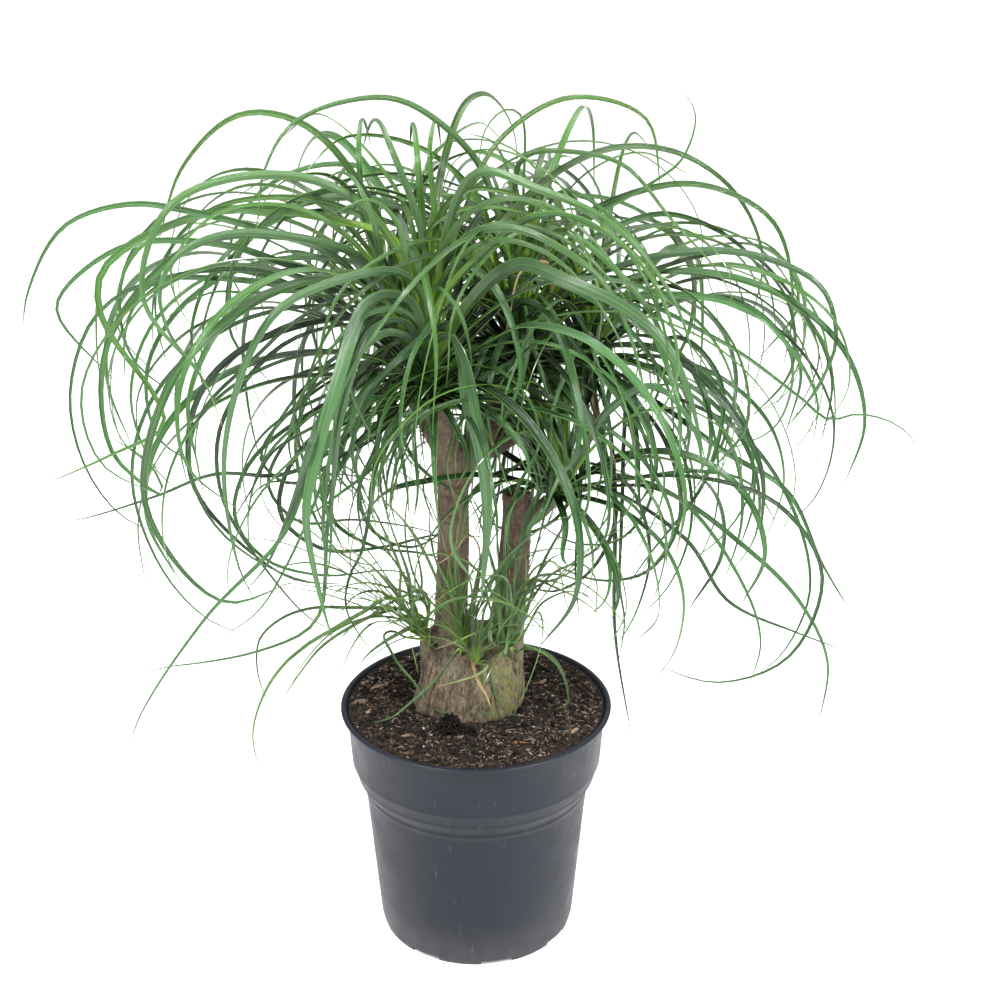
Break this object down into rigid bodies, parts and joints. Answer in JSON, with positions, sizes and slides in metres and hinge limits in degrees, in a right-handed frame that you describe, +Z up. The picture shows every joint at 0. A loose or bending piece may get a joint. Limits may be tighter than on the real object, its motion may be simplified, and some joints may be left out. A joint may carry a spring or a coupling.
{
  "type": "potted ponytail palm",
  "caption": "House plant with a swollen woody base, forked stems and fountains of long arching strap leaves, in a round tapered nursery pot of peat.",
  "frame": {"origin": "centre of the pot's foot, on the surface that the plant stands on", "axes": "+Z up along the pot's axis, -Y towards the front of the pictured view, +X to its right"},
  "size_m": [0.7393, 0.5472, 0.7673],
  "materials": {
    "pot_plastic": "satin",
    "peat": "matte",
    "bark": "matte",
    "leaf": "satin",
    "young_leaf": "satin"
  },
  "bodies": {
    "root": {"pot": "pot_plastic", "soil": "peat", "trunk": "bark", "crown_left": "leaf", "crown_back": "leaf", "crown_rear_left": "leaf", "crown_right": "leaf", "crown_low_right": "leaf", "sprout_left": "young_leaf", "sprout_front": "young_leaf", "sprout_front_low": "young_leaf", "sprout_right": "young_leaf"}
  },
  "joints": []
}
